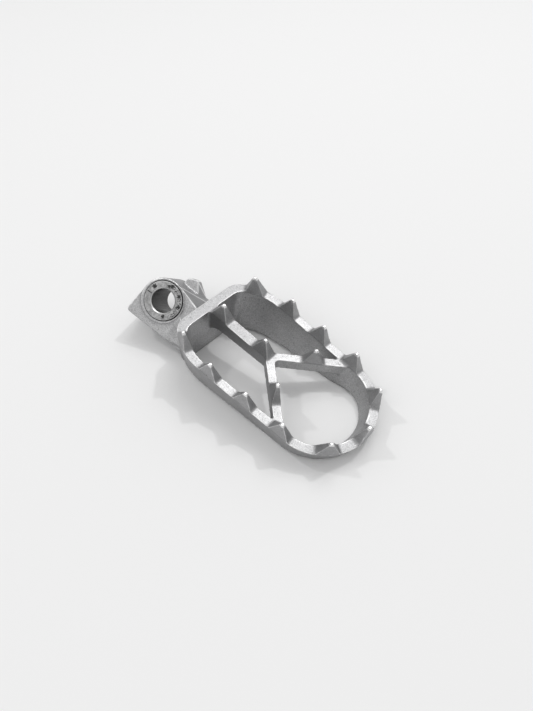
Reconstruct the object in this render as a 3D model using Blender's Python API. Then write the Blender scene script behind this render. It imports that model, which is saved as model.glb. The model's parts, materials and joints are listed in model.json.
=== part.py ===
"""Off-road motorcycle foot peg, left side, lying tread-up as it rests on a bench.

The casting is built in the peg's own frame: X runs outboard along the tread, Y points to the rear of
the motorcycle, Z is square to the tread, and the tops of the loop walls lie at Z = 0.
The boss is built about the pivot's own frame: u runs outboard, v runs up and to the rear, and w runs
along the pivot axis, with w = 0 on the collar's upper end face.
Lengths are in metres.
"""

import math

import bmesh
import bpy
from mathutils import Vector

MM = 0.001
GAP = 0.3 * MM

# Tread loop, seen from above
LOOP_LENGTH = 85.2 * MM
LOOP_HALF_WIDTH = 25.0 * MM
PLATE_HALF_LENGTH = 11.4 * MM
CORNER_RADIUS = 10.0 * MM
CORNER_SWEEP = 52.0
BEND_HALF_WIDTH = 23.6 * MM
BEND_LENGTH = 22.5 * MM
RIM_WIDTH = 3.6 * MM
RIM_EXTRA_INBOARD = 1.0 * MM
RIM_EXTRA_OUTBOARD = 0.4 * MM

# Depth and draft of the loop walls
DEPTH_OUTBOARD = 7.0 * MM
DEPTH_INBOARD = 21.0 * MM
DEPTH_FULL_UNTIL = 6.0 * MM
ARCH_HEIGHT = 1.6 * MM
BELLY_X = 57.0 * MM
TIP_RISE_POWER = 1.9
SIDE_DRAFT = math.tan(math.radians(15.0))
PLATE_DRAFT = math.tan(math.radians(4.5))

# Y-shaped web inside the loop
WEB_DEPTH = 5.2 * MM
BAR_WIDTH = 4.6 * MM
BAR_DEPTH = 6.4 * MM
BAR_FLARE_DEPTH = 12.0 * MM
BAR_FLARE_LENGTH = 8.0 * MM
ARM_WIDTH = 3.4 * MM
ARM_ANGLE = math.radians(41.0)
HUB_X = 36.0 * MM
HUB_REACH = 5.0 * MM
CROTCH_RADIUS = 2.0 * MM

# Teeth
TOOTH_HEIGHT = 7.1 * MM
TOOTH_LENGTH = 8.6 * MM
TOOTH_TIP = 1.1 * MM
TOOTH_LEAN = 0.6 * MM
FRONT_FIRST_TOOTH_SHIFT = 1.1 * MM
REAR_LAST_TOOTH_LEAN = 1.4 * MM
RIM_TOOTH_PITCH = 17.4 * MM
RIM_TEETH_EACH_SIDE = 5
BAR_TEETH_X = (9.9 * MM, 32.6 * MM)
ARM_TOOTH_REACH = 17.4 * MM

# Pivot boss, collar, neck and stop tab
PIVOT_FACE = Vector((-14.5, -10.5, -4.5)) * MM
PIVOT_AXIS = Vector((0.23, -0.66, 0.715)).normalized()
COLLAR_LENGTH = 20.6 * MM
COLLAR_OUTER = 8.3 * MM
COLLAR_BORE = 5.1 * MM
COLLAR_CHAMFER = 0.6 * MM
PAD_RADIUS = 9.45 * MM
BOSS_RADIUS = 9.7 * MM
BOSS_MIDDLE = (-0.35 * MM, -0.3 * MM)
PAD_FACE = 0.7 * MM
HEEL_FACE = 1.1 * MM
HEEL_LEFT = 11.3 * MM
HEEL_DROP = 12.9 * MM
HEEL_CORNER = 1.6 * MM
NECK_TOP_REAR = 9.0 * MM
NECK_TOP_FRONT = 3.4 * MM
NECK_REACH = 22.0 * MM
TAB_FRONT = 11.5 * MM
TAB_BACK = 16.5 * MM
TAB_HEIGHT = 14.0 * MM
TAB_CORNER = 1.1 * MM
TAB_CREST = 4.4 * MM
TAB_BASE_FRONT = 8.2 * MM
TAB_BASE_REAR = 11.0 * MM
TAB_ROOT_BOSS = 3.0 * MM
TAB_ROOT_NECK = 5.6 * MM

# Values worked out from the ones above
BEND_CENTRE = LOOP_LENGTH - BEND_LENGTH
CORNER_END = math.radians(180.0 - CORNER_SWEEP)
CORNER_END_Y = PLATE_HALF_LENGTH + CORNER_RADIUS * math.sin(CORNER_END)
SHOULDER_RADIUS = (LOOP_HALF_WIDTH - CORNER_END_Y) / (1.0 - math.sin(CORNER_END))
SHOULDER_X = CORNER_RADIUS + (CORNER_RADIUS - SHOULDER_RADIUS) * math.cos(CORNER_END)
SHOULDER_Y = LOOP_HALF_WIDTH - SHOULDER_RADIUS
PIVOT_U = (Vector((1.0, 0.0, 0.0)) - PIVOT_AXIS * PIVOT_AXIS.x).normalized()
PIVOT_V = PIVOT_AXIS.cross(PIVOT_U)
TIP_FOOT_X = LOOP_LENGTH - SIDE_DRAFT * DEPTH_OUTBOARD
REST_PITCH = math.atan2(DEPTH_INBOARD - DEPTH_OUTBOARD, TIP_FOOT_X - DEPTH_FULL_UNTIL)

CUTTER_SIZE = 80.0 * MM
ROUND_STEPS = 64
SHARP_ANGLE = math.radians(30.0)

CAST_COLOUR = (0.40, 0.40, 0.41)
CAST_ROUGHNESS = 0.5
STEEL_COLOUR = (0.46, 0.45, 0.44)
STEEL_ROUGHNESS = 0.35


# ---------------------------------------------------------------- scene, materials, basic solids

def clear_scene():
    for thing in list(bpy.data.objects):
        bpy.data.objects.remove(thing)


def make_material(name, colour, roughness):
    material = bpy.data.materials.new(name)
    material.use_nodes = True
    shader = material.node_tree.nodes["Principled BSDF"]
    shader.inputs["Base Color"].default_value = (*colour, 1.0)
    shader.inputs["Roughness"].default_value = roughness
    shader.inputs["Metallic"].default_value = 1.0
    material.diffuse_color = (*colour, 1.0)
    return material


def add_empty(name, location, parent):
    empty = bpy.data.objects.new(name, None)
    empty.location = location
    empty.parent = parent
    bpy.context.collection.objects.link(empty)
    return empty


def add_mesh(name, bm, parent):
    """Puts a bmesh drawn in the peg's frame under its parent, without moving it."""
    bmesh.ops.recalc_face_normals(bm, faces=bm.faces)
    mesh = bpy.data.meshes.new(name)
    bm.to_mesh(mesh)
    bm.free()
    mesh.shade_smooth()
    mesh.set_sharp_from_angle(angle=SHARP_ANGLE)
    thing = bpy.data.objects.new(name, mesh)
    bpy.context.collection.objects.link(thing)
    thing.parent = parent
    thing.location = -parent.location if parent.parent else Vector()
    return thing


def add_casting(name, bm, pivot):
    thing = add_mesh(name, bm, pivot)
    thing.data.materials.append(make_material(name, CAST_COLOUR, CAST_ROUGHNESS))
    return thing


def add_cutter(name, bm, parent):
    cutter = add_mesh(name, bm, parent)
    cutter.hide_render = True
    cutter.display_type = "WIRE"
    return cutter


def cut(thing, cutter, operation):
    modifier = thing.modifiers.new(cutter.name, "BOOLEAN")
    modifier.operation = operation
    modifier.solver = "EXACT"
    modifier.object = cutter


def loft(rings):
    """A closed solid through rings of equal point counts, capped at both ends."""
    bm = bmesh.new()
    rows = [[bm.verts.new(point) for point in ring] for ring in rings]
    count = len(rows[0])
    for lower, upper in zip(rows, rows[1:]):
        for i in range(count):
            j = (i + 1) % count
            bm.faces.new((lower[i], lower[j], upper[j], upper[i]))
    bm.faces.new(rows[0][::-1])
    bm.faces.new(rows[-1])
    return bm


def arc(centre, radius, start, end, steps):
    """Points on a circle from start to end, in radians."""
    points = []
    for i in range(steps + 1):
        angle = start + (end - start) * i / steps
        points.append((centre[0] + radius * math.cos(angle), centre[1] + radius * math.sin(angle)))
    return points


# ---------------------------------------------------------------- the loop's outline and section

def station(x, y, normal_x, normal_y):
    """A place on the rear half of the loop: its outer edge point and the outward normal there."""
    normal = Vector((normal_x, normal_y)).normalized()
    return Vector((x, y)), normal


def plate_stations():
    return [station(0.0, PLATE_HALF_LENGTH * i / 4, -1.0, 0.0) for i in range(4)]


def corner_stations():
    places = []
    for x, y in arc((CORNER_RADIUS, PLATE_HALF_LENGTH), CORNER_RADIUS, math.pi, CORNER_END, 10):
        places.append(station(x, y, x - CORNER_RADIUS, y - PLATE_HALF_LENGTH))
    for x, y in arc((SHOULDER_X, SHOULDER_Y), SHOULDER_RADIUS, CORNER_END, math.pi / 2, 8)[1:]:
        places.append(station(x, y, x - SHOULDER_X, y - SHOULDER_Y))
    return places


def side_stations():
    """The side draws in gently from the widest point to the start of the outboard bend."""
    places = []
    steps = 16
    run = BEND_CENTRE - SHOULDER_X
    drop = LOOP_HALF_WIDTH - BEND_HALF_WIDTH
    for i in range(1, steps):
        t = i / steps
        y = LOOP_HALF_WIDTH - drop * t * t * (3.0 - 2.0 * t)
        slope = -drop * 6.0 * t * (1.0 - t) / run
        places.append(station(SHOULDER_X + run * t, y, -slope, 1.0))
    return places


def bend_stations():
    places = []
    steps = 24
    for i in range(steps + 1):
        angle = math.pi / 2 * (1.0 - i / steps)
        across = math.cos(angle)
        up = math.sin(angle)
        x = BEND_CENTRE + BEND_LENGTH * across
        places.append(station(x, BEND_HALF_WIDTH * up, across / BEND_LENGTH, up / BEND_HALF_WIDTH))
    return places


def rim_width(normal):
    inboard = max(0.0, -normal.x) ** 2
    outboard = max(0.0, normal.x) ** 2
    return RIM_WIDTH + RIM_EXTRA_INBOARD * inboard + RIM_EXTRA_OUTBOARD * outboard


def straight_depth(x):
    """Depth of the straight line from the loop's deep inboard foot to its outboard tip."""
    reach = (TIP_FOOT_X - x) / (TIP_FOOT_X - DEPTH_FULL_UNTIL)
    return DEPTH_OUTBOARD + (DEPTH_INBOARD - DEPTH_OUTBOARD) * reach


def wall_depth(x):
    """Depth of the loop below the rim: a low arch from the foot to the belly, then a rise to the tip."""
    if x <= BELLY_X:
        along = max(0.0, x - DEPTH_FULL_UNTIL) / (BELLY_X - DEPTH_FULL_UNTIL)
        return straight_depth(max(x, DEPTH_FULL_UNTIL)) - ARCH_HEIGHT * math.sin(math.pi * along)
    reach = max(0.0, LOOP_LENGTH - x) / (LOOP_LENGTH - BELLY_X)
    return DEPTH_OUTBOARD + (straight_depth(BELLY_X) - DEPTH_OUTBOARD) * reach ** TIP_RISE_POWER


def inner_draft(normal):
    plate = max(0.0, -normal.x) ** 2
    return SIDE_DRAFT * (1.0 - plate) + PLATE_DRAFT * plate


def outer_draft(normal):
    plate = max(0.0, -normal.x) ** 2
    return SIDE_DRAFT * (1.0 - plate)


def place_on(spot, inset, z, side):
    """The point inset from the outer edge; side is 1 for the rear half and -1 for the front half."""
    point, normal = spot
    flat = point - normal * inset
    return Vector((flat.x, side * flat.y, z))


def foot_of_wall(spot, start, draft, side):
    """Where a wall face that starts inset at the rim meets the underside, whose depth varies with x."""
    point, normal = spot
    depth = wall_depth(point.x)
    for _ in range(4):
        depth = wall_depth(point.x - normal.x * (start + draft * depth))
    return place_on(spot, start + draft * depth, -depth, side)


def wall_section(spot, side):
    """The four corners of the wall at a station: rim outside, rim inside, foot inside, foot outside."""
    normal = spot[1]
    width = rim_width(normal)
    return [
        place_on(spot, 0.0, 0.0, side),
        place_on(spot, width, 0.0, side),
        foot_of_wall(spot, width, inner_draft(normal), side),
        foot_of_wall(spot, 0.0, outer_draft(normal), side),
    ]


def rim_lengths(places):
    """Distance along the middle of the rim from the outboard tip, for stations that start there."""
    middles = [point - normal * rim_width(normal) / 2 for point, normal in places]
    lengths = [0.0]
    for a, b in zip(middles, middles[1:]):
        lengths.append(lengths[-1] + (b - a).length)
    return lengths


def station_at(places, lengths, distance):
    """The station at a distance along the rim, between the two nearest ones."""
    i = 0
    while i < len(places) - 2 and lengths[i + 1] < distance:
        i += 1
    t = (distance - lengths[i]) / (lengths[i + 1] - lengths[i])
    point = places[i][0].lerp(places[i + 1][0], t)
    normal = places[i][1].lerp(places[i + 1][1], t).normalized()
    return point, normal


def stretch(places, lengths, start, end):
    """The stations from start to end along the rim, with both ends cut exactly there."""
    inside = [p for p, d in zip(places, lengths) if start + GAP < d < end - GAP]
    return [station_at(places, lengths, start)] + inside + [station_at(places, lengths, end)]


# ---------------------------------------------------------------- the loop's walls

def build_loop(pivot, places, lengths):
    """Six walls: the outboard bend, two sides, two corners and the end plate."""
    bend_end = lengths[len(bend_stations()) - 1]
    side_end = lengths[len(bend_stations()) + len(side_stations())]
    corner_end = lengths[len(places) - len(plate_stations()) - 1]

    bend = stretch(places, lengths, 0.0, bend_end)
    sections = [wall_section(s, -1) for s in bend[:0:-1]] + [wall_section(s, 1) for s in bend]
    add_casting("outboard_end_wall", loft(sections), pivot)

    for side, label in ((-1, "front"), (1, "rear")):
        wall = stretch(places, lengths, bend_end + GAP, side_end)
        add_casting(label + "_side_wall", loft([wall_section(s, side) for s in wall]), pivot)
        corner = stretch(places, lengths, side_end + GAP, corner_end)
        add_casting(label + "_corner_wall", loft([wall_section(s, side) for s in corner]), pivot)

    plate = stretch(places, lengths, corner_end + GAP, lengths[-1])
    sections = [wall_section(s, -1) for s in plate[:-1]] + [wall_section(s, 1) for s in plate[::-1]]
    add_casting("inboard_end_plate", loft(sections), pivot)


# ---------------------------------------------------------------- the web

def arm_directions(side):
    along = Vector((math.cos(ARM_ANGLE), side * math.sin(ARM_ANGLE)))
    outward = Vector((-math.sin(ARM_ANGLE), side * math.cos(ARM_ANGLE)))
    return along, outward


def arm_point(side, reach, offset):
    """A point in plan on an arm: reach from the hub along it, offset towards the side wall."""
    along, outward = arm_directions(side)
    return Vector((HUB_X, 0.0)) + along * reach + outward * offset


def reach_to_wall(places, offset, depth):
    """How far an arm's edge runs before it is a gap short of the side wall's inner face."""
    low = HUB_REACH
    high = LOOP_LENGTH
    while high - low > 0.001 * MM:
        middle = (low + high) / 2
        point = arm_point(1, middle, offset)
        if point.y < inner_edge_y(places, point.x, depth) - GAP:
            low = middle
        else:
            high = middle
    return low


def inner_edge_y(places, x, depth):
    """Half-width of the space inside the loop at x, some depth below the rim."""
    edge = []
    for point, normal in places:
        edge.append(point - normal * (rim_width(normal) + inner_draft(normal) * depth))
    for a, b in zip(edge, edge[1:]):
        if b.x <= x <= a.x:
            return a.y + (b.y - a.y) * (x - a.x) / (b.x - a.x)
    return 0.0


def build_centre_bar(pivot):
    """A side view extruded across the peg, its underside flaring down to the end plate from the hub."""
    half = BAR_WIDTH / 2
    start = RIM_WIDTH + RIM_EXTRA_INBOARD + GAP
    end = hub_start() - GAP
    side_view = [(start, 0.0), (end, 0.0), (end, -WEB_DEPTH)]
    flare = BAR_FLARE_DEPTH - BAR_DEPTH
    for i in range(9):
        angle = math.pi / 2 * i / 8
        x = start + BAR_FLARE_LENGTH * (1.0 - math.sin(angle))
        z = -BAR_DEPTH - flare * (1.0 - math.cos(angle))
        side_view.append((x - PLATE_DRAFT * z, z))
    rings = [[Vector((x, y, z)) for x, z in side_view] for y in (-half, half)]
    add_casting("centre_bar", loft(rings), pivot)


def hub_start():
    """Where the outer edges of the arms leave the sides of the centre bar."""
    reach = (BAR_WIDTH / 2 - ARM_WIDTH / 2 * math.cos(ARM_ANGLE)) / math.sin(ARM_ANGLE)
    return arm_point(1, reach, ARM_WIDTH / 2).x


def build_hub(pivot):
    half = ARM_WIDTH / 2
    crotch_x = HUB_X + half / math.sin(ARM_ANGLE)
    centre = (crotch_x + CROTCH_RADIUS / math.sin(ARM_ANGLE), 0.0)
    turn = math.pi / 2 - ARM_ANGLE
    outline = [(hub_start(), -BAR_WIDTH / 2), tuple(arm_point(-1, HUB_REACH, half))]
    outline.append(tuple(arm_point(-1, HUB_REACH, -half)))
    outline += arc(centre, CROTCH_RADIUS, math.pi + turn, math.pi - turn, 8)
    outline.append(tuple(arm_point(1, HUB_REACH, -half)))
    outline += [tuple(arm_point(1, HUB_REACH, half)), (hub_start(), BAR_WIDTH / 2)]
    rings = [[Vector((x, y, z)) for x, y in outline] for z in (0.0, -WEB_DEPTH)]
    add_casting("web_hub", loft(rings), pivot)


def build_arms(pivot, places):
    half = ARM_WIDTH / 2
    for side, label in ((-1, "front"), (1, "rear")):
        rings = []
        for depth in (0.0, WEB_DEPTH):
            plan = [
                arm_point(side, HUB_REACH + GAP, -half),
                arm_point(side, reach_to_wall(places, -half, depth), -half),
                arm_point(side, reach_to_wall(places, half, depth), half),
                arm_point(side, HUB_REACH + GAP, half),
            ]
            rings.append([Vector((p.x, p.y, -depth)) for p in plan])
        add_casting(label + "_web_arm", loft(rings), pivot)


# ---------------------------------------------------------------- the teeth

def tooth(base, tip_centre, along, outward):
    """A four-sided tooth from its base corners up to a small blunt tip."""
    half = TOOTH_TIP / 2
    tip = []
    for a, b in ((-1, 1), (-1, -1), (1, -1), (1, 1)):
        flat = tip_centre + along * (a * half) + outward * (b * half)
        tip.append(Vector((flat.x, flat.y, TOOTH_HEIGHT)))
    return loft([[Vector((p.x, p.y, GAP)) for p in base], tip])


def rim_tooth(places, lengths, distance, side, lean_along):
    """A tooth on the rim, centred a distance from the outboard tip and leaning a little outwards."""
    corners = []
    for step in (-TOOTH_LENGTH / 2, TOOTH_LENGTH / 2):
        reach = distance + step
        half = side if reach >= 0.0 else -side
        spot = station_at(places, lengths, abs(reach))
        width = rim_width(spot[1])
        corners.append((place_on(spot, 0.0, 0.0, half).xy, place_on(spot, width, 0.0, half).xy))
    (start_out, start_in), (end_out, end_in) = corners
    point, normal = station_at(places, lengths, distance)
    outward = Vector((normal.x, side * normal.y))
    along = ((end_out + end_in) - (start_out + start_in)).normalized()
    middle = point - normal * (rim_width(normal) / 2 - TOOTH_LEAN)
    tip_centre = Vector((middle.x, side * middle.y)) + along * lean_along
    return tooth([start_out, start_in, end_in, end_out], tip_centre, along, outward)


def web_tooth(centre, along, width):
    outward = Vector((-along.y, along.x))
    base = []
    for a, b in ((-1, 1), (-1, -1), (1, -1), (1, 1)):
        base.append(centre + along * (a * TOOTH_LENGTH / 2) + outward * (b * width / 2))
    return tooth(base, centre, along, outward)


def build_teeth(pivot, places, lengths):
    add_casting("tooth_outboard_tip", rim_tooth(places, lengths, 0.0, 1, 0.0), pivot)
    for side, label in ((-1, "front"), (1, "rear")):
        for i in range(1, RIM_TEETH_EACH_SIDE + 1):
            shift = FRONT_FIRST_TOOTH_SHIFT if (label, i) == ("front", 1) else 0.0
            lean = REAR_LAST_TOOTH_LEAN if (label, i) == ("rear", RIM_TEETH_EACH_SIDE) else 0.0
            solid = rim_tooth(places, lengths, i * RIM_TOOTH_PITCH - shift, side, lean)
            add_casting(f"tooth_{label}_rim_{i}", solid, pivot)
        along, _ = arm_directions(side)
        solid = web_tooth(arm_point(side, ARM_TOOTH_REACH, 0.0), along, ARM_WIDTH)
        add_casting(f"tooth_{label}_arm", solid, pivot)
    for label, x in zip(("inboard", "outboard"), BAR_TEETH_X):
        solid = web_tooth(Vector((x, 0.0)), Vector((1.0, 0.0)), BAR_WIDTH)
        add_casting(f"tooth_bar_{label}", solid, pivot)


# ---------------------------------------------------------------- the pivot boss and what joins it

def at_pivot(u, v, w):
    """A point given about the pivot: outboard, up and rearward, and down the axis from the upper end."""
    return PIVOT_FACE + PIVOT_U * u + PIVOT_V * v - PIVOT_AXIS * w


def pivot_prism(near_outline, near, far_outline, far):
    """Extrudes an outline about the pivot from one distance down the axis to another."""
    return loft([[at_pivot(u, v, near) for u, v in near_outline],
                 [at_pivot(u, v, far) for u, v in far_outline]])


def pivot_cylinder(middle, radius, near, far):
    ring = arc(middle, radius, 0.0, math.tau, ROUND_STEPS)[:-1]
    return pivot_prism(ring, near, ring, far)


def bench_block():
    """A block whose top is the bench, seen from the peg's frame."""
    down = Vector((math.sin(REST_PITCH), 0.0, -math.cos(REST_PITCH))) * CUTTER_SIZE
    run = Vector((math.cos(REST_PITCH), 0.0, math.sin(REST_PITCH)))
    origin = Vector((DEPTH_FULL_UNTIL, 0.0, -DEPTH_INBOARD))
    top = []
    for a, b in ((-2, -1), (1, -1), (1, 1), (-2, 1)):
        top.append(origin + run * (a * CUTTER_SIZE) + Vector((0.0, b * CUTTER_SIZE, 0.0)))
    return loft([top, [p + down for p in top]])


def loop_block(places):
    """A block that fills the loop out to its outer faces and the gap round them."""
    rings = []
    for z in (-2 * DEPTH_INBOARD, DEPTH_INBOARD):
        half = []
        for side in (1, -1):
            half.append([place_on(spot, -GAP - outer_draft(spot[1]) * z, z, side) for spot in places])
        rings.append(half[0] + half[1][-2:0:-1])
    return loft(rings)


def build_boss(pivot, bench):
    """A boss rounded on top and square below, with a raised pad round its bore at both ends.

    The boss as cast sits a little off the bore, which is drilled later.
    """
    corner = (-HEEL_LEFT + HEEL_CORNER, -HEEL_DROP + HEEL_CORNER)
    outline = arc(corner, HEEL_CORNER, math.pi, math.pi * 1.5, 5)
    outline.append((BOSS_MIDDLE[0] + BOSS_RADIUS, -HEEL_DROP))
    outline += arc(BOSS_MIDDLE, BOSS_RADIUS, 0.0, math.pi, ROUND_STEPS // 2)
    solid = pivot_prism(outline, HEEL_FACE, outline, COLLAR_LENGTH - HEEL_FACE)
    boss = add_casting("pivot_boss", solid, pivot)
    pad = pivot_cylinder(BOSS_MIDDLE, PAD_RADIUS, PAD_FACE, COLLAR_LENGTH - PAD_FACE)
    pad = add_cutter("boss_pad", pad, pivot)
    bore = pivot_cylinder((0.0, 0.0), COLLAR_OUTER + GAP, -CUTTER_SIZE, CUTTER_SIZE)
    bore = add_cutter("boss_bore", bore, pivot)
    cut(boss, pad, "UNION")
    cut(boss, bore, "DIFFERENCE")
    cut(boss, bench, "DIFFERENCE")


def neck_bevel(start):
    """A block over the neck whose underside slopes down to the front and towards the loop."""
    drop = NECK_TOP_REAR - NECK_TOP_FRONT
    slope = drop / (NECK_REACH - start)
    rate = drop / (COLLAR_LENGTH - 2 * HEEL_FACE)
    rings = []
    for w in (-NECK_REACH, 2 * NECK_REACH):
        lift = rate * (w - HEEL_FACE)
        low = [(u, NECK_TOP_REAR - slope * (u - start) + lift) for u in (-NECK_REACH, 2 * NECK_REACH)]
        rings.append(low + [(2 * NECK_REACH, CUTTER_SIZE), (-NECK_REACH, CUTTER_SIZE)])
    return pivot_prism(rings[0], -NECK_REACH, rings[1], 2 * NECK_REACH)


def build_neck(pivot, bench, places):
    """The neck fills the space between the boss and the loop, and its top is bevelled to the front."""
    radius = BOSS_RADIUS + GAP
    top = math.asin((NECK_TOP_REAR - BOSS_MIDDLE[1]) / radius)
    outline = arc(BOSS_MIDDLE, radius, top, 0.0, 8)
    start = outline[0][0]
    outline += [(BOSS_MIDDLE[0] + radius, -HEEL_DROP), (NECK_REACH, -HEEL_DROP), (NECK_REACH, NECK_TOP_REAR)]
    neck = add_casting("boss_neck", pivot_prism(outline, HEEL_FACE, outline, COLLAR_LENGTH - HEEL_FACE), pivot)
    bevel = add_cutter("neck_bevel", neck_bevel(start), pivot)
    end = add_cutter("neck_end", loop_block(places), pivot)
    cut(neck, bevel, "DIFFERENCE")
    cut(neck, end, "DIFFERENCE")
    cut(neck, bench, "DIFFERENCE")


def above_boss(u):
    """The height at u that clears the boss's round top by the gap."""
    radius = BOSS_RADIUS + GAP
    return BOSS_MIDDLE[1] + math.sqrt(radius ** 2 - (u - BOSS_MIDDLE[0]) ** 2)


def build_stop_tab(pivot):
    """A fin on top of the boss and neck, leaning over their rear half."""
    foot = NECK_TOP_REAR + GAP
    shoulder = TAB_HEIGHT - 2 * TAB_CORNER
    left = [(0.0, above_boss(0.0)), (0.0, shoulder), (TAB_CORNER, shoulder + TAB_CORNER)]
    crest = [(TAB_CREST, TAB_HEIGHT)]
    inner = [(TAB_ROOT_NECK, foot), (TAB_ROOT_BOSS, above_boss(TAB_ROOT_BOSS))]
    near = left + crest + [(TAB_BASE_FRONT, foot)] + inner
    far = left + crest + [(TAB_BASE_REAR, foot)] + inner
    add_casting("stop_tab", pivot_prism(near, TAB_FRONT, far, TAB_BACK), pivot)


def build_collar(parent):
    """The plain steel sleeve that the pivot pin clamps, chamfered at both ends of its bore."""
    mouth = COLLAR_BORE + COLLAR_CHAMFER
    section = [
        (COLLAR_OUTER, 0.0), (COLLAR_OUTER, COLLAR_LENGTH),
        (mouth, COLLAR_LENGTH), (COLLAR_BORE, COLLAR_LENGTH - COLLAR_CHAMFER),
        (COLLAR_BORE, COLLAR_CHAMFER), (mouth, 0.0),
    ]
    bm = bmesh.new()
    rows = []
    for i in range(ROUND_STEPS):
        angle = math.tau * i / ROUND_STEPS
        across = Vector((math.cos(angle), math.sin(angle)))
        rows.append([bm.verts.new(at_pivot(r * across.x, r * across.y, w)) for r, w in section])
    for i in range(ROUND_STEPS):
        for j in range(len(section)):
            k = (j + 1) % len(section)
            this = rows[i]
            following = rows[(i + 1) % ROUND_STEPS]
            bm.faces.new((this[j], this[k], following[k], following[j]))
    collar = add_mesh("pivot_collar", bm, parent)
    collar.data.materials.append(make_material("pivot_collar", STEEL_COLOUR, STEEL_ROUGHNESS))


# ---------------------------------------------------------------- assembly

def rest_on_bench(rest):
    """Tips the peg onto the bench and centres it over the origin."""
    rest.rotation_euler = (0.0, REST_PITCH, 0.0)
    bpy.context.view_layer.update()
    graph = bpy.context.evaluated_depsgraph_get()
    points = []
    for thing in bpy.data.objects:
        if thing.type == "MESH" and not thing.hide_render:
            shape = thing.evaluated_get(graph)
            points += [thing.matrix_world @ v.co for v in shape.data.vertices]
    lows = [min(p[i] for p in points) for i in range(3)]
    highs = [max(p[i] for p in points) for i in range(3)]
    rest.location = (-(lows[0] + highs[0]) / 2, -(lows[1] + highs[1]) / 2, -lows[2])


def main():
    clear_scene()
    rest = add_empty("peg_rest", Vector(), None)
    pivot = add_empty("fold_pivot", PIVOT_FACE, rest)
    places = (plate_stations() + corner_stations() + side_stations() + bend_stations())[::-1]
    lengths = rim_lengths(places)
    build_loop(pivot, places, lengths)
    build_centre_bar(pivot)
    build_hub(pivot)
    build_arms(pivot, places)
    build_teeth(pivot, places, lengths)
    bench = add_cutter("bench", bench_block(), pivot)
    build_boss(pivot, bench)
    build_neck(pivot, bench, places)
    build_stop_tab(pivot)
    build_collar(rest)
    rest_on_bench(rest)


main()
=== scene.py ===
"""The looks of an off-road motorcycle foot peg: a blasted steel casting with a worn pivot sleeve.

The casting is one piece of metal. Its surface is grown from the CAD solids, which are only parted by
modelling gaps: they are thickened until they meet, joined on a fine grid, thinned back to size, and then
filleted as a mould and a blasting cabinet would leave them.
"""

import json
import math

import bmesh
import bpy
import numpy as np
from mathutils import Matrix, Quaternion, Vector, noise


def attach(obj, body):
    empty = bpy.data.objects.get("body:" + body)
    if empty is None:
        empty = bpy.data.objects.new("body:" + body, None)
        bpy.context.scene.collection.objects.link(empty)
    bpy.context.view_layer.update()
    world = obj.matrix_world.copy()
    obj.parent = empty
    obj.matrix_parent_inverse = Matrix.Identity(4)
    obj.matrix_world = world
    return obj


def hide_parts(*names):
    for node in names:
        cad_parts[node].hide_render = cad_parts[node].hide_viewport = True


MM = 0.001

# Camera, in metres and degrees: azimuth 0 looks along +Y, and elevation is above the horizon
CAMERA_AT = (0.09980, -0.10637, 0.17291)
CAMERA_AZIMUTH = -40.588
CAMERA_ELEVATION = 48.562
CAMERA_ROLL = 1.657
CAMERA_LENS = 27.04

# Soft lamps: name, azimuth from +X, elevation, distance, width, power in watts
LAMPS = (
    ("rear_lamp", 80.8, 59.5, 1.5, 0.07, 2.8),
    ("inboard_lamp", -158.1, 51.8, 1.5, 0.08, 2.4),
    ("rear_panel", 105.0, 62.0, 1.3, 0.8, 3.3),
    ("front_panel", -90.0, 45.0, 1.3, 0.8, 1.5),
)
ROOM_GREY = 0.61

FLOOR_HALF = 1.5
FLOOR_GREY = 0.86

# How the casting's surface is grown and dressed
SEAM_CLOSING = 0.2 * MM
VOXEL = 0.34 * MM
FULL_BEND = 0.05 * MM
WAVE_HEIGHT = 0.035 * MM
WAVE_LENGTH = 2.2 * MM
MOST_TRIANGLES = 195000

# Smoothing steps: passes, then the share of the way each vertex moves to its neighbours' middle, in hollows
# and on ridges. The boss's rounding has one share for both.
SETTLING = (1, 0.5, 0.3)
FILLETING = (8, 0.6, 0.0)
SOFTENING = (1, 0.4, 0.3)
BOSS_ROUNDING = (8, 0.5)

# How far inboard of the peg's middle the boss, neck and stop tab begin, and the end plate's inner face
INBOARD_OF = 24.0 * MM
PLATE_INBOARD_OF = 0.8 * INBOARD_OF

# The teeth's ground tips, as heights above the rim's top
TIP_FROM = 6.1 * MM
TIP_TO = 6.5 * MM

# Paler tone on the rim's tops at places along the peg, partly wear and partly a painted highlight, and
# elsewhere: 1 is ground pale, 0 is as blasted. The inner walls' paler tone is painted light, and the boss
# and tab faces' is partly wear and partly painted light.
# Painted shade goes from 0 for none to 1, and the boss is spared the last share listed below of the painted
# shade its hollows would get.
WEAR_AND_HIGHLIGHT_PLACES = (-19.0 * MM, -8.0 * MM, 15.0 * MM, 45.0 * MM)
WEAR_AND_HIGHLIGHT_AMOUNTS = (0.38, 0.85, 1.0, 0.45)
BAR_WEAR = 0.45
BOSS_WEAR_AND_LIGHT = 0.6
TAB_WEAR_AND_LIGHT = 0.95
BOSS_WEAR_AND_LIGHT_DEPTHS = (6.0 * MM, 10.0 * MM, 17.0 * MM, 20.0 * MM)
INNER_WALL_LIGHT = 0.5
TOOTH_WEAR = 0.1
FOOT_SHADE = 0.5
PAD_STEP_SHADE = 0.38
AWAY_EDGE_SHADE = 0.5
SOLE_DIRT = 0.9
LOW_WALL_SHADE = 0.3
GROOVE_SHADE = 0.45
BOSS_SHADE_CUT = 0.85

# The boss's edges that face this lamp's way get a painted highlight, and those that face away get painted
# shade
LAMP_SIDE = (0.08, 0.50, 0.86)

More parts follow.
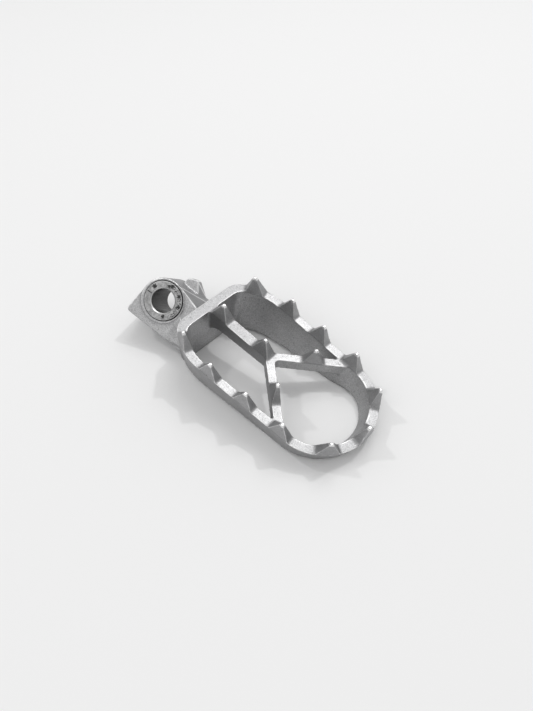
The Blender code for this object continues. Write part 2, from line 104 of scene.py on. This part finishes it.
# Colours, as linear red, green and blue; pairs are the darker and paler ends of a cloudy mix
WALL_COLOURS = ((0.31, 0.31, 0.315), (0.39, 0.39, 0.395))
WORN_AND_LIT_COLOURS = ((0.52, 0.52, 0.525), (0.60, 0.60, 0.605))
PALE_GRAIN = (0.75, 0.75, 0.75)
DARK_GRAIN = (0.17, 0.17, 0.17)
PORE = (0.12, 0.12, 0.12)
# Edges: partly rubbed wear, partly a painted highlight
RUBBED_EDGE_AND_HIGHLIGHT = (0.88, 0.88, 0.88)
# Painted shade: the colour that darkens hollows, grooves, the teeth's feet, low walls and shaded edges
PAINTED_SHADE_COLOUR = (0.07, 0.07, 0.07)
GROUND_TIP = (0.92, 0.92, 0.92)
SLEEVE_COLOURS = ((0.27, 0.27, 0.27), (0.50, 0.50, 0.50))
SLEEVE_GRAIN = (0.14, 0.14, 0.14)
# Painted shade down the bore, from its dark shade to its paler streaks
BORE_SHADE_COLOURS = ((0.05, 0.05, 0.05), (0.30, 0.30, 0.30))
GALL_PIT = (0.05, 0.05, 0.05)
# A painted highlight on the sleeve's mouth chamfer and outer edge
LIP_HIGHLIGHT = (0.85, 0.85, 0.85)

# Texture sizes, in cycles per metre
GRAIN_SCALE = 2300.0
PORE_SCALE = 900.0
CLOUD_SCALE = 170.0
SLEEVE_GRAIN_SCALE = 2200.0
SLEEVE_CLOUD_SCALE = 520.0

# Roughness, and how deep the grain is as bump
CAST_ROUGHNESS = (0.44, 0.54)
EDGE_ROUGHNESS = 0.34
TIP_ROUGHNESS = 0.22
SLEEVE_ROUGHNESS = (0.36, 0.52)
PORE_BUMP = 0.09 * MM
GRAIN_BUMP = 0.05 * MM
SLEEVE_BUMP = 0.06 * MM

# The sleeve's worn end: gall marks as angle about the pivot, distance from it and width, in degrees and mm
GALL_MARKS = (
    (149.0, 6.9, 1.0),
    (93.0, 6.6, 0.75),
    (82.0, 7.3, 1.0),
    (42.0, 7.2, 0.9),
    (6.0, 7.2, 1.1),
    (-62.0, 6.7, 0.8),
)
GALL_GRAIN = 0.45 * MM
GALL_DEPTH = 0.16 * MM
GALL_RAGGEDNESS = 0.55

# Where the sleeve's edge is galled, its face scratched, and its bore streaked and painted lighter on one
# side, in degrees about the pivot
GALLED_SIDE = 25.0
SCRATCH_ANGLE = 176.0
LIT_BORE_SIDE = 0.0

# The turned sleeve's chamfers, and how many steps its section is drawn in
MOUTH_CHAMFER = 0.55 * MM
RIM_CHAMFER = 0.3 * MM
FACE_STEPS = 24
BORE_STEPS = 30
SHELL_STEPS = 12
SLEEVE_TURNS = 300

CASTING_BODY = "peg"
SLEEVE_NODE = "pivot_collar"

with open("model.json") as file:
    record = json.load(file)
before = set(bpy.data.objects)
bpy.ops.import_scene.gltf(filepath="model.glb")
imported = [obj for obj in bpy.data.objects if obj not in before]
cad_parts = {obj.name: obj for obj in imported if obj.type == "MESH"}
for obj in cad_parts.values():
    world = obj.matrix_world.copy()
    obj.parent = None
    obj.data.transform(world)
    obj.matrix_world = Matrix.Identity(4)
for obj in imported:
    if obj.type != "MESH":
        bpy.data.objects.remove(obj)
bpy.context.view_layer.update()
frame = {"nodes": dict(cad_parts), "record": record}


# ---------------------------------------------------------------- the pivot's own axes

def pivot_axes():
    """The fold joint's origin and axis, with two directions square to it."""
    joint = frame["record"]["behaviour"]["joints"][0]
    origin = Vector(joint["pos_m"])
    axis = Vector(joint["axis"]).normalized()
    across = (Vector((1.0, 0.0, 0.0)) - axis * axis.x).normalized()
    return origin, axis, across, axis.cross(across)


# ---------------------------------------------------------------- small node helpers

def new_material(name):
    material = bpy.data.materials.new(name)
    material.use_nodes = True
    tree = material.node_tree
    return material, tree, tree.nodes["Principled BSDF"]


def add_node(tree, kind, **settings):
    node = tree.nodes.new(kind)
    for key, value in settings.items():
        setattr(node, key, value)
    return node


def noise_node(tree, scale, detail, roughness):
    """A noise texture that sticks to the piece, with its scale in cycles per metre."""
    place = add_node(tree, "ShaderNodeTexCoord")
    texture = add_node(tree, "ShaderNodeTexNoise")
    texture.inputs["Scale"].default_value = scale
    texture.inputs["Detail"].default_value = detail
    texture.inputs["Roughness"].default_value = roughness
    tree.links.new(place.outputs["Object"], texture.inputs["Vector"])
    return texture.outputs["Fac"]


def remap(tree, value, low, high, to_low, to_high):
    node = add_node(tree, "ShaderNodeMapRange", clamp=True)
    node.inputs["From Min"].default_value = low
    node.inputs["From Max"].default_value = high
    node.inputs["To Min"].default_value = to_low
    node.inputs["To Max"].default_value = to_high
    tree.links.new(value, node.inputs["Value"])
    return node.outputs["Result"]


def attribute(tree, name):
    node = add_node(tree, "ShaderNodeAttribute", attribute_name=name)
    return node.outputs["Fac"]


def blend_colour(tree, factor, first, second):
    """Mixes two colours, either of which may be a socket or a tuple of red, green and blue."""
    mix = add_node(tree, "ShaderNodeMix", data_type="RGBA")
    tree.links.new(factor, mix.inputs["Factor"])
    for socket, colour in ((mix.inputs["A"], first), (mix.inputs["B"], second)):
        if isinstance(colour, tuple):
            socket.default_value = (*colour, 1.0)
        else:
            tree.links.new(colour, socket)
    return mix.outputs["Result"]


def blend_value(tree, factor, first, second):
    mix = add_node(tree, "ShaderNodeMix", data_type="FLOAT")
    tree.links.new(factor, mix.inputs["Factor"])
    for socket, value in ((mix.inputs["A"], first), (mix.inputs["B"], second)):
        if isinstance(value, float):
            socket.default_value = value
        else:
            tree.links.new(value, socket)
    return mix.outputs["Result"]


def times(tree, first, second):
    node = add_node(tree, "ShaderNodeMath", operation="MULTIPLY")
    tree.links.new(first, node.inputs[0])
    tree.links.new(second, node.inputs[1])
    return node.outputs["Value"]


def bump(tree, height, distance, strength, under=None):
    node = add_node(tree, "ShaderNodeBump")
    node.inputs["Distance"].default_value = distance
    node.inputs["Strength"].default_value = strength
    tree.links.new(height, node.inputs["Height"])
    if under is not None:
        tree.links.new(under, node.inputs["Normal"])
    return node.outputs["Normal"]


# ---------------------------------------------------------------- materials

def cast_metal():
    """Bare cast steel, evenly blasted: dull on its walls, paler where worn and where light is painted on,
    bright on the teeth's tips, with painted highlights on edges and painted shade in hollows.
    """
    material, tree, shader = new_material("blasted_cast_steel")
    links = tree.links
    shader.inputs["Metallic"].default_value = 1.0
    grain = noise_node(tree, GRAIN_SCALE, 2.0, 0.6)
    pores = noise_node(tree, PORE_SCALE, 2.0, 0.6)
    cloud = noise_node(tree, CLOUD_SCALE, 3.0, 0.55)
    cloudy = remap(tree, cloud, 0.3, 0.7, 0.0, 1.0)
    wall = blend_colour(tree, cloudy, *WALL_COLOURS)
    wear_and_light = blend_colour(tree, cloudy, *WORN_AND_LIT_COLOURS)
    # The paler mix stands for ground wear and for painted light together
    wear_light_mask = attribute(tree, "wear_and_light")
    base = blend_colour(tree, wear_light_mask, wall, wear_and_light)
    blasting = remap(tree, wear_light_mask, 0.0, 0.6, 0.35, 1.0)
    bright_grain = times(tree, remap(tree, grain, 0.5, 0.68, 0.0, 0.35), blasting)
    dark_grain = times(tree, remap(tree, grain, 0.5, 0.34, 0.0, 0.45), blasting)
    base = blend_colour(tree, bright_grain, base, PALE_GRAIN)
    base = blend_colour(tree, dark_grain, base, DARK_GRAIN)
    pore = remap(tree, pores, 0.34, 0.26, 0.0, 0.6)
    base = blend_colour(tree, pore, base, PORE)
    # Edges are paler and smoother, partly as rubbed wear and partly as a painted highlight
    marked = remap(tree, attribute(tree, "edge"), 0.12, 0.4, 0.0, 0.9)
    base = blend_colour(tree, marked, base, RUBBED_EDGE_AND_HIGHLIGHT)
    # Painted shade, darkening hollows, grooves and edges turned from the light
    shade_amount = remap(tree, attribute(tree, "painted_shade"), 0.2, 0.8, 0.0, 0.85)
    base = blend_colour(tree, shade_amount, base, PAINTED_SHADE_COLOUR)
    tip = attribute(tree, "tip")
    base = blend_colour(tree, tip, base, GROUND_TIP)
    links.new(base, shader.inputs["Base Color"])
    rough = remap(tree, cloud, 0.3, 0.7, *CAST_ROUGHNESS)
    rough = blend_value(tree, marked, rough, EDGE_ROUGHNESS)
    rough = blend_value(tree, tip, rough, TIP_ROUGHNESS)
    links.new(rough, shader.inputs["Roughness"])
    normal = bump(tree, pores, PORE_BUMP, 0.35)
    normal = bump(tree, grain, GRAIN_BUMP, 0.75, normal)
    links.new(normal, shader.inputs["Normal"])
    return material


def sleeve_metal():
    """Turned steel, dulled and stained, darker where its end has galled, with painted shade down its bore,
    a painted lighter side there, and a painted highlight on its mouth and outer edge.
    """
    material, tree, shader = new_material("worn_sleeve_steel")
    links = tree.links
    shader.inputs["Metallic"].default_value = 1.0
    grain = noise_node(tree, SLEEVE_GRAIN_SCALE, 3.0, 0.6)
    cloud = noise_node(tree, SLEEVE_CLOUD_SCALE, 3.0, 0.6)
    cloudy = remap(tree, cloud, 0.35, 0.65, 0.0, 1.0)
    base = blend_colour(tree, cloudy, *SLEEVE_COLOURS)
    dark_grain = remap(tree, grain, 0.5, 0.36, 0.0, 0.5)
    base = blend_colour(tree, dark_grain, base, SLEEVE_GRAIN)
    # Painted shade down the bore, with paler streaks
    bore = blend_colour(tree, attribute(tree, "streak_and_light"), *BORE_SHADE_COLOURS)
    base = blend_colour(tree, attribute(tree, "bore"), base, bore)
    base = blend_colour(tree, attribute(tree, "pit"), base, GALL_PIT)
    # A painted highlight on the mouth chamfer and outer edge
    base = blend_colour(tree, attribute(tree, "lip_highlight"), base, LIP_HIGHLIGHT)
    links.new(base, shader.inputs["Base Color"])
    links.new(remap(tree, grain, 0.3, 0.7, *SLEEVE_ROUGHNESS), shader.inputs["Roughness"])
    links.new(bump(tree, grain, SLEEVE_BUMP, 0.6), shader.inputs["Normal"])
    return material


def floor_paint():
    material, _, shader = new_material("pale_floor")
    shader.inputs["Base Color"].default_value = (FLOOR_GREY, FLOOR_GREY, FLOOR_GREY, 1.0)
    shader.inputs["Roughness"].default_value = 0.9
    shader.inputs["Specular IOR Level"].default_value = 0.1
    return material


# ---------------------------------------------------------------- mesh helpers

def mesh_object(name, mesh):
    thing = bpy.data.objects.new(name, mesh)
    bpy.context.collection.objects.link(thing)
    return thing


def coordinates(mesh):
    flat = np.empty(len(mesh.vertices) * 3)
    mesh.vertices.foreach_get("co", flat)
    return flat.reshape(-1, 3)


def normals(mesh):
    flat = np.empty(len(mesh.vertices) * 3)
    mesh.vertex_normals.foreach_get("vector", flat)
    return flat.reshape(-1, 3)


def edge_ends(mesh):
    flat = np.empty(len(mesh.edges) * 2, dtype=np.int32)
    mesh.edges.foreach_get("vertices", flat)
    return flat.reshape(-1, 2)


def set_coordinates(mesh, points):
    mesh.vertices.foreach_set("co", points.ravel())
    mesh.update()


def set_attribute(mesh, name, values):
    layer = mesh.attributes.new(name, "FLOAT", "POINT")
    layer.data.foreach_set("value", np.asarray(values, dtype=np.float32))


def neighbour_mean(points, ends):
    """For each vertex, the mean place of the vertices that share an edge with it."""
    count = np.bincount(ends.ravel(), minlength=len(points))
    total = np.zeros_like(points)
    for axis in range(3):
        total[:, axis] += np.bincount(ends[:, 0], points[ends[:, 1], axis], len(points))
        total[:, axis] += np.bincount(ends[:, 1], points[ends[:, 0], axis], len(points))
    return total / np.maximum(count, 1)[:, None]


def dent(mesh, ends):
    """How far each vertex lies below its neighbours, positive in a hollow, and the step to their middle."""
    points = coordinates(mesh)
    pull = neighbour_mean(points, ends) - points
    return (pull * normals(mesh)).sum(axis=1), pull


def relax(mesh, ends, passes, in_hollow, on_ridge):
    """Smooths the mesh, by different amounts in hollows and on ridges."""
    for _ in range(passes):
        depth, pull = dent(mesh, ends)
        share = np.where(depth > 0.0, in_hollow, on_ridge)
        set_coordinates(mesh, coordinates(mesh) + pull * share[:, None])


def spread(values, ends, passes):
    """Evens a value out over neighbouring vertices."""
    field = values.reshape(-1, 1).repeat(3, axis=1)
    for _ in range(passes):
        field = 0.5 * field + 0.5 * neighbour_mean(field, ends)
    return field[:, 0]


# ---------------------------------------------------------------- the casting

def thickened(node, amount):
    """A copy of a CAD node's solid with every face moved outwards by the same amount."""
    bm = bmesh.new()
    bm.from_mesh(frame["nodes"][node].data)
    bmesh.ops.remove_doubles(bm, verts=bm.verts, dist=0.001 * MM)
    bmesh.ops.recalc_face_normals(bm, faces=bm.faces)
    moves = [(v, v.normal * v.calc_shell_factor() * amount) for v in bm.verts]
    for vertex, move in moves:
        vertex.co += move
    return bm


def grown_casting(nodes):
    """All the casting's solids as one closed fine mesh."""
    raw = bpy.data.meshes.new("casting_raw")
    whole = bmesh.new()
    for node in nodes:
        bm = thickened(node, SEAM_CLOSING)
        part = bpy.data.meshes.new("casting_part")
        bm.to_mesh(part)
        bm.free()
        whole.from_mesh(part)
        bpy.data.meshes.remove(part)
    whole.to_mesh(raw)
    whole.free()
    holder = mesh_object("casting_raw", raw)
    remesh = holder.modifiers.new("grid", "REMESH")
    remesh.mode = "VOXEL"
    remesh.voxel_size = VOXEL
    graph = bpy.context.evaluated_depsgraph_get()
    mesh = bpy.data.meshes.new_from_object(holder.evaluated_get(graph))
    bpy.data.objects.remove(holder)
    bpy.data.meshes.remove(raw)
    return mesh


def cast_waves(mesh):
    """The faint unevenness of a cast surface."""
    points = coordinates(mesh)
    out = normals(mesh)
    heights = np.array([noise.noise(Vector(p) / WAVE_LENGTH) for p in points])
    set_coordinates(mesh, points + out * (heights * WAVE_HEIGHT)[:, None])


def stand_on_floor(mesh):
    """Keeps the grown surface from sinking below the floor it stands on."""
    points = coordinates(mesh)
    points[:, 2] = np.maximum(points[:, 2], 0.0)
    set_coordinates(mesh, points)


def tread_plane():
    """A point on the rim's top plane, which the end plate and the centre bar share, and its normal."""
    plate = [v.co for v in frame["nodes"]["inboard_end_plate"].data.vertices]
    wall = [v.co for v in frame["nodes"]["outboard_end_wall"].data.vertices]
    inner = max(plate, key=lambda p: p.z)
    outer = max(wall, key=lambda p: p.x + p.z)
    along = Vector((outer.x - inner.x, 0.0, outer.z - inner.z)).normalized()
    return np.array(inner), np.array((-along.z, 0.0, along.x))


def pivot_places(points):
    """Distance from the pivot's axis, and depth below the sleeve's upper face, of each point."""
    origin, axis, _, _ = pivot_axes()
    offset = points - np.array(origin)
    along = offset @ np.array(axis)
    radius = np.linalg.norm(offset - along[:, None] * np.array(axis), axis=1)
    return radius, -along


def ramp(values, start, end):
    """Rises from 0 at start to 1 at end."""
    return np.clip((values - start) / (end - start), 0.0, 1.0)


def rim_wear_and_highlight(points):
    """How far the tops are ground, with a painted highlight, which changes along the peg and is less on the
    centre bar.
    """
    wear_light_mask = np.interp(points[:, 0], WEAR_AND_HIGHLIGHT_PLACES, WEAR_AND_HIGHLIGHT_AMOUNTS)
    bar = ramp(-np.abs(points[:, 1]), -6.0 * MM, -5.0 * MM) * ramp(-points[:, 0], -3.0 * MM, 0.0)
    plate = ramp(-points[:, 0], 18.0 * MM, 20.0 * MM)
    return wear_light_mask * (1.0 - (1.0 - BAR_WEAR) * bar * (1.0 - plate))


def wear_light_and_shade(mesh, ends):
    """Where the casting is ground paler or painted paler for light, where it gets painted shade, and each
    point's height.
    """
    origin, square = tread_plane()
    points = coordinates(mesh)
    facing = normals(mesh)
    up = facing @ square
    height = (points - origin) @ square
    # Rim tops: ground wear, with a painted highlight that changes along the peg
    top = ramp(up, 0.80, 0.93) * ramp(-np.abs(height), -0.9 * MM, -0.5 * MM) * rim_wear_and_highlight(points)
    _, depth = pivot_places(points)
    _, axis, _, _ = pivot_axes()
    inboard = ramp(-points[:, 0], INBOARD_OF, INBOARD_OF + 1.0 * MM)
    # Boss and stop tab faces turned along the pivot: paler, partly as wear and partly as painted light
    boss = ramp(facing @ np.array(axis), 0.35, 0.8) * inboard
    boss = boss * np.interp(depth, BOSS_WEAR_AND_LIGHT_DEPTHS, (BOSS_WEAR_AND_LIGHT, TAB_WEAR_AND_LIGHT, TAB_WEAR_AND_LIGHT, 0.0))
    inwards = -facing[:, 1] * np.sign(points[:, 1])
    inwards = np.maximum(inwards, facing[:, 0] * (points[:, 0] < -PLATE_INBOARD_OF))
    # Inward-facing walls painted paler for the light they catch
    inner = INNER_WALL_LIGHT * ramp(inwards, 0.3, 0.6) * ramp(-height, 0.3 * MM, 0.8 * MM) * (1.0 - inboard)
    tooth = TOOTH_WEAR * ramp(height, 0.4 * MM, 0.8 * MM)
    # Painted shade at the teeth's feet, just above the rim's top
    foot = ramp(height, -0.25 * MM, 0.0) * ramp(-height, -0.6 * MM, -0.25 * MM) * ramp(-up, -0.85, -0.7)
    # Outer walls get painted shade, darker towards the bottom
    low = ramp(-inwards, 0.3, 0.6) * ramp(-height, 1.0 * MM, 8.0 * MM) * (1.0 - inboard)
    wear_and_light = np.maximum.reduce([top, boss, tooth, inner])
    foot_and_wall_shade = np.maximum(FOOT_SHADE * foot, LOW_WALL_SHADE * low)
    return spread(wear_and_light, ends, 1), spread(foot_and_wall_shade, ends, 1), height


def pad_outline(mesh):
    """The foot of the low step round the boss's pad, where it borders the flat heel, which gets a line of
    painted shade.
    """
    origin, axis, across, up = (np.array(v) for v in pivot_axes())
    corners = coordinates(frame["nodes"]["pivot_boss"].data) - origin
    depth = -(corners @ axis)
    rim = corners[depth < depth.min() + 0.05 * MM]
    sides = np.stack([rim @ across, rim @ up], axis=1)
    middle = (sides.max(axis=0) + sides.min(axis=0)) / 2.0
    reach = np.linalg.norm(sides - middle, axis=1).max()
    points = coordinates(mesh) - origin
    apart = np.hypot(points @ across - middle[0], points @ up - middle[1])
    shallow = ramp(points @ axis, -2.2 * MM, -1.8 * MM)
    return ramp(-np.abs(apart - reach - 0.25 * MM), -0.5 * MM, -0.2 * MM) * shallow


def thinned_out(mesh):
    """The same surface with fewer faces: small ones stay where it curves, flat places get larger ones."""
    triangles = sum(len(face.vertices) - 2 for face in mesh.polygons)
    holder = mesh_object("casting_fine", mesh)
    decimate = holder.modifiers.new("thin", "DECIMATE")
    decimate.ratio = min(1.0, MOST_TRIANGLES / triangles)
    graph = bpy.context.evaluated_depsgraph_get()
    result = bpy.data.meshes.new_from_object(holder.evaluated_get(graph))
    bpy.data.objects.remove(holder)
    bpy.data.meshes.remove(mesh)
    return result


def round_boss(mesh, ends):
    """Rounds the edges of the boss, neck and stop tab more than the rest, but not the bore's mouth."""
    outer, _, _ = sleeve_size()
    passes, share = BOSS_ROUNDING
    for _ in range(passes):
        points = coordinates(mesh)
        radius, _ = pivot_places(points)
        here = ramp(-points[:, 0], INBOARD_OF, INBOARD_OF + 2.0 * MM)
        here = here * ramp(radius, outer + 0.9 * MM, outer + 1.5 * MM)
        pull = neighbour_mean(points, ends) - points
        set_coordinates(mesh, points + pull * (share * here)[:, None])


def mark_edges_and_painted_shade(mesh, bend, height, foot_and_wall_shade):
    """Marks the casting's edges, partly rubbed wear and partly a painted highlight, and its painted shade,
    for the material.
    """
    radius, below = pivot_places(coordinates(mesh))
    outer, _, _ = sleeve_size()
    # Painted shade in the groove round the sleeve
    groove = ramp(-radius, -outer - 0.9 * MM, -outer - 0.4 * MM) * ramp(-below, -6.0 * MM, -2.0 * MM)
    inboard = ramp(-coordinates(mesh)[:, 0], INBOARD_OF, INBOARD_OF + 2.0 * MM)
    on_tooth = ramp(height, 0.3 * MM, 0.8 * MM)
    # How far each point faces the rear lamp
    lamp_facing = ramp(normals(mesh) @ np.array(LAMP_SIDE), -0.1, 0.4)
    # Edges are marked paler, partly as rubbed wear and partly as a painted highlight, on the boss twice as
    # strongly and only where they face the lamp
    ridge = ramp(-bend, 0.0, 1.0) * (1.0 - groove)
    edge = ridge * (1.0 + inboard) * (1.0 - 0.5 * on_tooth) * (1.0 - inboard * (1.0 - lamp_facing))
    edge = edge * ramp(height, -4.0 * MM, -3.0 * MM) + edge * inboard * ramp(-height, 3.0 * MM, 4.0 * MM)
    # Painted shade in hollows, much less on the boss
    hollow = ramp(bend, 0.0, 1.0) * (1.0 - BOSS_SHADE_CUT * inboard)
    # Painted shade on the boss's edges that face away from the lamp
    under = AWAY_EDGE_SHADE * ramp(ridge, 0.1, 0.4) * inboard * (1.0 - lamp_facing)
    sole = SOLE_DIRT * ramp(ridge, 0.1, 0.4) * ramp(-height, 3.0 * MM, 4.0 * MM) * (1.0 - inboard)
    shade_amount = [hollow, GROOVE_SHADE * groove, foot_and_wall_shade, PAD_STEP_SHADE * pad_outline(mesh), under, sole]
    set_attribute(mesh, "edge", edge)
    set_attribute(mesh, "painted_shade", np.maximum.reduce(shade_amount))


def build_casting():
    nodes = frame["record"]["behaviour"]["bodies"][CASTING_BODY]
    mesh = grown_casting(nodes)
    ends = edge_ends(mesh)
    relax(mesh, ends, *SETTLING)
    set_coordinates(mesh, coordinates(mesh) - normals(mesh) * SEAM_CLOSING)
    relax(mesh, ends, *FILLETING)
    relax(mesh, ends, *SOFTENING)
    depth, _ = dent(mesh, ends)
    bend = spread(depth, ends, 2) / FULL_BEND
    wear_and_light, foot_and_wall_shade, height = wear_light_and_shade(mesh, ends)
    round_boss(mesh, ends)
    cast_waves(mesh)
    stand_on_floor(mesh)
    mesh.shade_smooth()
    mark_edges_and_painted_shade(mesh, bend, height, foot_and_wall_shade)
    set_attribute(mesh, "wear_and_light", wear_and_light)
    set_attribute(mesh, "tip", ramp(height, TIP_FROM, TIP_TO))
    casting = mesh_object("peg_casting", thinned_out(mesh))
    casting.data.materials.append(cast_metal())
    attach(casting, CASTING_BODY)
    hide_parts(*nodes)


# ---------------------------------------------------------------- the pivot sleeve

def sleeve_size():
    """Outer radius, bore radius and length of the CAD sleeve."""
    origin, axis, _, _ = pivot_axes()
    radii = []
    depths = []
    for vertex in frame["nodes"][SLEEVE_NODE].data.vertices:
        offset = vertex.co - origin
        along = offset.dot(axis)
        radii.append((offset - axis * along).length)
        depths.append(-along)
    return max(radii), min(radii), max(depths)


def sleeve_profile(outer, bore, length):
    """The section's points as radius and depth below the upper face, round the sleeve once."""
    mouth = MOUTH_CHAMFER
    rim = RIM_CHAMFER
    face = np.linspace(outer - rim, bore + mouth, FACE_STEPS)
    upper = [(outer, rim), (outer - 0.3 * rim, 0.3 * rim)] + [(r, 0.0) for r in face]
    upper += [(bore + mouth * (1 - t), mouth * t) for t in (0.33, 0.66, 1.0)]
    lower = [(r, length - d) for r, d in upper[::-1]]
    wall = [(bore, d) for d in np.linspace(mouth, length - mouth, BORE_STEPS)[1:-1]]
    shell = [(outer, d) for d in np.linspace(length - rim, rim, SHELL_STEPS)[1:-1]]
    return upper + wall + lower + shell


def angle_apart(turn, angle):
    """How far directions are turned from an angle, in degrees from 0 to 180."""
    return np.abs((turn - angle + 180.0) % 360.0 - 180.0)


def galling(across, up, radius):
    """How deeply each point of the sleeve's upper face is torn, from 0 to 1."""
    torn = np.zeros(len(radius))
    turn = np.degrees(np.arctan2(up, across))
    for angle, middle, width in GALL_MARKS:
        x = middle * MM * math.cos(math.radians(angle))
        y = middle * MM * math.sin(math.radians(angle))
        apart = np.hypot(across - x, up - y) / (width * MM)
        torn = np.maximum(torn, np.exp(-apart ** 2))
    ragged = np.array([noise.noise(Vector((a, b, 0.0)) / GALL_GRAIN) for a, b in zip(across, up)])
    torn = ramp(torn + GALL_RAGGEDNESS * ragged, 0.40, 0.62)
    marked = ramp(-angle_apart(turn, GALLED_SIDE), -85.0, -50.0) * ramp(radius, 6.1 * MM, 6.7 * MM)
    torn = np.maximum(torn, marked * ramp(ragged, 0.12, 0.34))
    sideways = radius * np.radians(angle_apart(turn, SCRATCH_ANGLE))
    scratch = ramp(-sideways, -0.22 * MM, -0.1 * MM)
    return np.maximum(torn, scratch)


def bore_streaks_and_light(across, up, depth):
    """Pale streaks along the bore where the pin has rubbed it, mostly on one side, with painted light on
    that side.
    """
    turn = np.arctan2(up, across)
    fine = np.array([noise.noise(Vector((9.0 * a, 0.0, 0.12 * d / MM))) for a, d in zip(turn, depth)])
    side = 0.5 + 0.5 * np.cos(turn - math.radians(LIT_BORE_SIDE))
    return np.clip(side * (0.35 + 1.1 * fine) + 0.15 * side, 0.0, 1.0)


def dress_sleeve(mesh, outer, bore):
    """Tears the sleeve's upper face, and marks its bore for painted shade and streaks and its mouth and
    outer edge for a painted highlight, for the material.
    """
    origin, axis, across, up = (np.array(v) for v in pivot_axes())
    points = coordinates(mesh)
    offset = points - origin
    depth = -(offset @ axis)
    x = offset @ across
    y = offset @ up
    radius = np.hypot(x, y)
    on_face = (depth < 0.02 * MM) & (radius < outer - 0.25 * MM) & (radius > bore + 0.5 * MM)
    torn = galling(x, y, radius) * on_face
    set_coordinates(mesh, points - axis * (torn * GALL_DEPTH)[:, None])
    # The bore gets painted shade
    inside = (radius < bore + 0.3 * MM) & (depth > 0.4 * MM)
    # A painted highlight on the mouth chamfer and the outer edge
    mouth = (radius < bore + 0.45 * MM) & (depth < 0.5 * MM)
    edge = (radius > outer - 0.2 * MM) & (depth < 0.35 * MM)
    set_attribute(mesh, "pit", torn)
    set_attribute(mesh, "bore", inside)
    set_attribute(mesh, "streak_and_light", bore_streaks_and_light(x, y, depth))
    set_attribute(mesh, "lip_highlight", np.maximum(mouth * 0.9, edge * 0.6))


def build_sleeve():
    origin, axis, across, up = pivot_axes()
    outer, bore, length = sleeve_size()
    profile = sleeve_profile(outer, bore, length)
    bm = bmesh.new()
    rows = []
    for i in range(SLEEVE_TURNS):
        angle = math.tau * i / SLEEVE_TURNS
        out = across * math.cos(angle) + up * math.sin(angle)
        rows.append([bm.verts.new(origin + out * r - axis * d) for r, d in profile])
    for i in range(SLEEVE_TURNS):
        this = rows[i]
        following = rows[(i + 1) % SLEEVE_TURNS]
        for j in range(len(profile)):
            k = (j + 1) % len(profile)
            bm.faces.new((this[j], this[k], following[k], following[j]))
    bmesh.ops.recalc_face_normals(bm, faces=bm.faces)
    mesh = bpy.data.meshes.new("pivot_sleeve")
    bm.to_mesh(mesh)
    bm.free()
    dress_sleeve(mesh, outer, bore)
    mesh.shade_smooth()
    mesh.set_sharp_from_angle(angle=math.radians(30.0))
    sleeve = mesh_object("pivot_sleeve", mesh)
    sleeve.data.materials.append(sleeve_metal())
    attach(sleeve, "sleeve")
    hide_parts(SLEEVE_NODE)


# ---------------------------------------------------------------- camera, lamps, floor

def build_camera():
    azimuth = math.radians(CAMERA_AZIMUTH)
    elevation = math.radians(CAMERA_ELEVATION)
    level = Vector((math.sin(azimuth), math.cos(azimuth), 0.0)) * math.cos(elevation)
    forward = level - Vector((0.0, 0.0, math.sin(elevation)))
    turn = forward.to_track_quat("-Z", "Y") @ Quaternion((0.0, 0.0, 1.0), math.radians(CAMERA_ROLL))
    data = bpy.data.cameras.new("camera")
    data.lens = CAMERA_LENS
    data.clip_start = 0.01
    camera = bpy.data.objects.new("camera", data)
    camera.matrix_world = Matrix.Translation(CAMERA_AT) @ turn.to_matrix().to_4x4()
    bpy.context.collection.objects.link(camera)
    bpy.context.scene.camera = camera


def add_lamp(name, azimuth, elevation, distance, width, power):
    """A round soft lamp that shines at the peg from that direction, measured from +X and the horizon."""
    turn = math.radians(azimuth)
    rise = math.radians(elevation)
    away = Vector((math.cos(turn) * math.cos(rise), math.sin(turn) * math.cos(rise), math.sin(rise)))
    data = bpy.data.lights.new(name, "AREA")
    data.shape = "DISK"
    data.size = width
    data.energy = power
    lamp = bpy.data.objects.new(name, data)
    lamp.location = away * distance
    lamp.rotation_euler = (-away).to_track_quat("-Z", "Y").to_euler()
    bpy.context.collection.objects.link(lamp)


def build_studio():
    for lamp in LAMPS:
        add_lamp(*lamp)
    world = bpy.data.worlds.new("studio_room")
    world.use_nodes = True
    world.node_tree.nodes["Background"].inputs["Color"].default_value = (1.0, 1.0, 1.0, 1.0)
    world.node_tree.nodes["Background"].inputs["Strength"].default_value = ROOM_GREY
    bpy.context.scene.world = world
    bpy.context.scene.view_settings.view_transform = "Standard"


def build_floor():
    bm = bmesh.new()
    bmesh.ops.create_grid(bm, x_segments=1, y_segments=1, size=FLOOR_HALF)
    mesh = bpy.data.meshes.new("floor")
    bm.to_mesh(mesh)
    bm.free()
    floor = mesh_object("floor", mesh)
    floor.data.materials.append(floor_paint())


build_camera()
build_studio()
build_floor()
build_casting()
build_sleeve()
